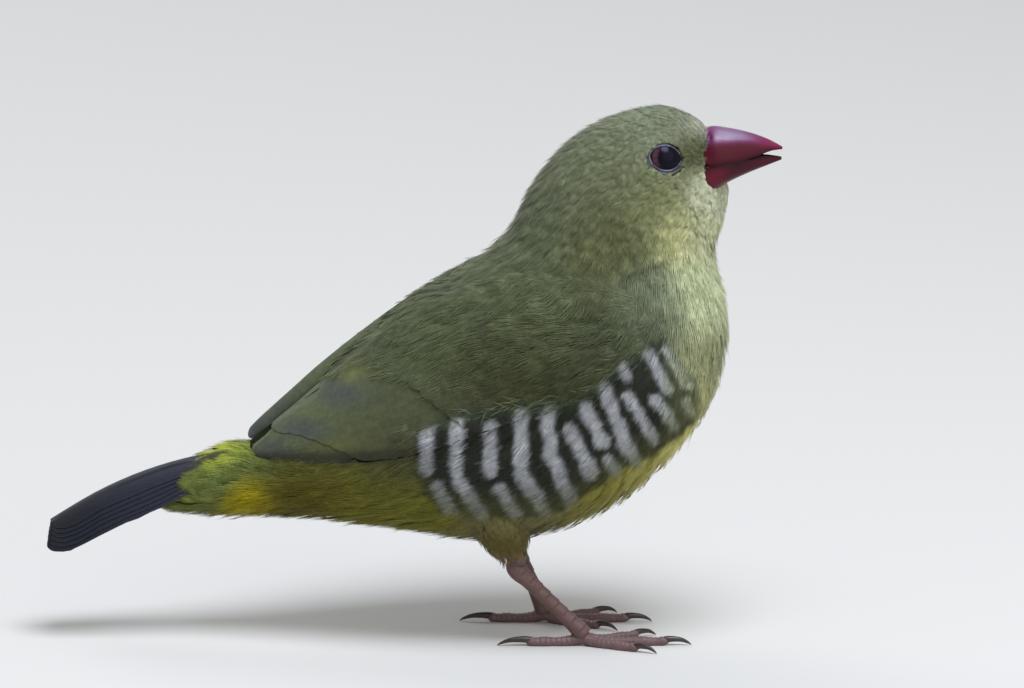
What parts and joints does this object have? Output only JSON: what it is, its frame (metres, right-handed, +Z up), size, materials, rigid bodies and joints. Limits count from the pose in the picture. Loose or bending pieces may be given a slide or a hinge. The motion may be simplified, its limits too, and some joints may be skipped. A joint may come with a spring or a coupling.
{
  "type": "green avadavat",
  "caption": "Life-size standing model of a small olive finch with barred flanks, a short conical bill, folded wings and a rounded tail.",
  "frame": {"origin": "on the floor under the middle of the bird's box", "axes": "+X ahead, where the bill points; +Y to the bird's left; +Z up"},
  "size_m": [0.0848, 0.0278, 0.0621],
  "materials": {
    "head_plumage": "soft matt plumage",
    "body_plumage": "soft matt plumage",
    "wing_plumage": "smooth feather vanes",
    "tail_plumage": "smooth feather vanes",
    "leg_skin": "scaled dry skin",
    "bill_horn": "waxy horn",
    "eye": "wet gloss"
  },
  "bodies": {
    "root": {"head": "head_plumage", "neck": "head_plumage", "torso": "body_plumage", "rump": "body_plumage", "wing_left": "wing_plumage", "wing_right": "wing_plumage", "tail": "tail_plumage", "thigh_left": "body_plumage", "thigh_right": "body_plumage", "shank_left": "leg_skin", "shank_right": "leg_skin", "foot_left": "leg_skin", "foot_right": "leg_skin", "bill_upper": "bill_horn", "bill_lower": "bill_horn", "eye_left": "eye", "eye_right": "eye"}
  },
  "joints": []
}
